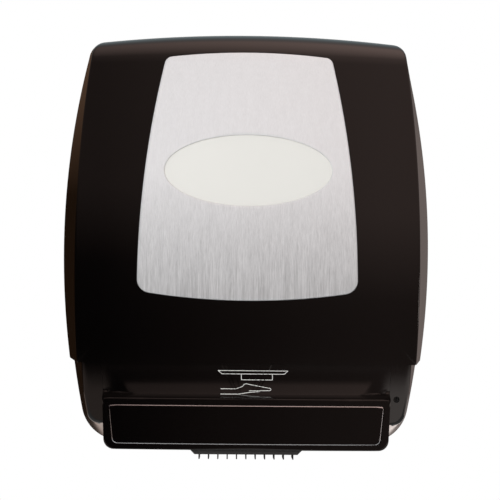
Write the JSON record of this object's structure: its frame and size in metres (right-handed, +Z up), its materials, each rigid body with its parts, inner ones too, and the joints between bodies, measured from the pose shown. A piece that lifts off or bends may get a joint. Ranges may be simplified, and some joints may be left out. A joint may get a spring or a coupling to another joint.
{
  "type": "automatic roll towel dispenser",
  "caption": "Touch-free wall dispenser for a roll of paper towel: hinged black cover with brushed fascia, motor feed, sprung pinch roller and a serrated tear bar.",
  "frame": {"origin": "centre of the four wall screw holes, on the back face", "axes": "+X to the viewer's right, +Y into the wall, +Z up"},
  "size_m": [0.3168, 0.235, 0.3518],
  "materials": {
    "gloss_black": "gloss",
    "brushed_fascia": "satin",
    "clear_lens": "gloss",
    "satin_black": "satin",
    "matte_black": "matte",
    "charcoal_plastic": "matte",
    "grey_plastic": "satin",
    "white_acetal": "satin",
    "grey_rubber": "matte",
    "bronze": "satin",
    "dark_lens": "gloss",
    "circuit_board": "satin",
    "battery_wrap": "satin",
    "spring_steel": "polished",
    "plated_steel": "satin",
    "towel_paper": "matte",
    "brown_card": "matte",
    "button_blue": "satin"
  },
  "bodies": {
    "root": {"arm_hinge_pin": "plated_steel", "arm_spring": "spring_steel", "battery_cells": "battery_wrap", "battery_contacts": "spring_steel", "battery_tray": "charcoal_plastic", "control_board": "circuit_board", "control_cover": "grey_plastic", "cross_brace": "plated_steel", "feed_bushings": "bronze", "gear_cover": "grey_plastic", "gear_cover_screws": "plated_steel", "gear_post": "plated_steel", "hinge_pins": "plated_steel", "left_roll_arm": "charcoal_plastic", "left_side_frame": "grey_plastic", "lower_housing": "satin_black", "module_screws": "plated_steel", "motor": "plated_steel", "motor_screws": "plated_steel", "nose_screws": "plated_steel", "nose_window": "gloss_black", "outlet_comb": "matte_black", "outlet_nose": "satin_black", "rear_housing": "charcoal_plastic", "right_side_frame": "grey_plastic", "roll_arm_screws": "plated_steel", "sensor_board": "circuit_board", "sensor_lenses": "dark_lens", "tear_bar": "plated_steel", "tear_bar_screws": "plated_steel", "throat_guide": "grey_plastic", "towel_web": "towel_paper", "upper_guide": "grey_plastic"},
    "cover": {"front_cover": "gloss_black", "fascia_panel": "brushed_fascia", "window_lens": "clear_lens", "cover_catch": "charcoal_plastic"},
    "roll": {"towel_roll": "towel_paper", "roll_core": "brown_card", "left_hub": "white_acetal"},
    "right_arm": {"right_roll_arm": "charcoal_plastic"},
    "right_hub_body": {"right_hub": "white_acetal"},
    "feed_roller": {"feed_shaft": "plated_steel", "feed_sleeves": "grey_rubber", "feed_gear": "white_acetal"},
    "idler": {"compound_gear": "white_acetal"},
    "motor_rotor": {"motor_pinion": "white_acetal"},
    "pinch_arm": {"pinch_carrier": "charcoal_plastic", "pinch_springs": "spring_steel"},
    "pinch_roller": {"pinch_shaft": "plated_steel", "pinch_wheels": "grey_rubber"},
    "battery_flap": {"battery_door": "grey_plastic"},
    "button": {"advance_button": "button_blue"},
    "slider": {"length_slider": "button_blue"},
    "lock_core": {"lock_barrel": "matte_black"},
    "lock_slide": {"lock_bar": "plated_steel"}
  },
  "joints": [
    {"name": "cover_hinge", "type": "hinge", "parent": "root", "child": "cover", "pos_m": [0, -0.032, 0.152], "axis": [-1, 0, 0], "range_deg": [0, 85]},
    {"name": "roll_spin", "type": "hinge", "parent": "root", "child": "roll", "pos_m": [0, -0.11, 0.056], "axis": [1, 0, 0], "continuous": true},
    {"name": "arm_swing", "type": "hinge", "parent": "root", "child": "right_arm", "pos_m": [0.112, -0.016, 0.03], "axis": [0, 0, 1], "range_deg": [0, 9], "stiffness_Nm_per_rad": 1.5, "springref_deg": -17.19},
    {"name": "right_hub_spin", "type": "hinge", "parent": "right_arm", "child": "right_hub_body", "pos_m": [0.097, -0.11, 0.056], "axis": [1, 0, 0], "continuous": true},
    {"name": "feed_spin", "type": "hinge", "parent": "root", "child": "feed_roller", "pos_m": [0, -0.168, -0.122], "axis": [1, 0, 0], "continuous": true},
    {"name": "idler_spin", "type": "hinge", "parent": "root", "child": "idler", "pos_m": [0.112, -0.148, -0.107], "axis": [1, 0, 0], "continuous": true},
    {"name": "motor_spin", "type": "hinge", "parent": "root", "child": "motor_rotor", "pos_m": [0.112, -0.121, -0.11442], "axis": [1, 0, 0], "continuous": true},
    {"name": "pinch_swing", "type": "hinge", "parent": "root", "child": "pinch_arm", "pos_m": [0, -0.201, -0.098], "axis": [-1, 0, 0], "range_deg": [0, 8], "stiffness_Nm_per_rad": 0.4, "springref_deg": -28.65},
    {"name": "pinch_spin", "type": "hinge", "parent": "pinch_arm", "child": "pinch_roller", "pos_m": [0, -0.195, -0.122], "axis": [1, 0, 0], "continuous": true},
    {"name": "battery_door_hinge", "type": "hinge", "parent": "root", "child": "battery_flap", "pos_m": [0, -0.043, -0.0825], "axis": [1, 0, 0], "range_deg": [0, 90]},
    {"name": "advance_press", "type": "slide", "parent": "root", "child": "button", "axis": [0, 0, -1], "range_m": [0, 0.002], "stiffness_N_per_m": 150, "springref_m": -0.002},
    {"name": "length_slide", "type": "slide", "parent": "root", "child": "slider", "axis": [0, 1, 0], "range_m": [-0.003, 0.003]},
    {"name": "lock_turn", "type": "hinge", "parent": "root", "child": "lock_core", "pos_m": [0.1165, -0.207, -0.133], "axis": [0, 1, 0], "range_deg": [0, 90]},
    {"name": "lock_lift", "type": "slide", "parent": "root", "child": "lock_slide", "axis": [0, 0, 1], "range_m": [0, 0.00764]}
  ],
  "couplings": [
    {"joint": "right_hub_spin", "follows": "roll_spin", "ratio": 1},
    {"joint": "feed_spin", "follows": "roll_spin", "ratio": 5.5},
    {"joint": "pinch_spin", "follows": "roll_spin", "ratio": -8.8},
    {"joint": "idler_spin", "follows": "roll_spin", "ratio": -14.143},
    {"joint": "motor_spin", "follows": "roll_spin", "ratio": 51.857},
    {"joint": "lock_turn", "follows": "lock_lift", "rad_per_m": 205.71}
  ]
}
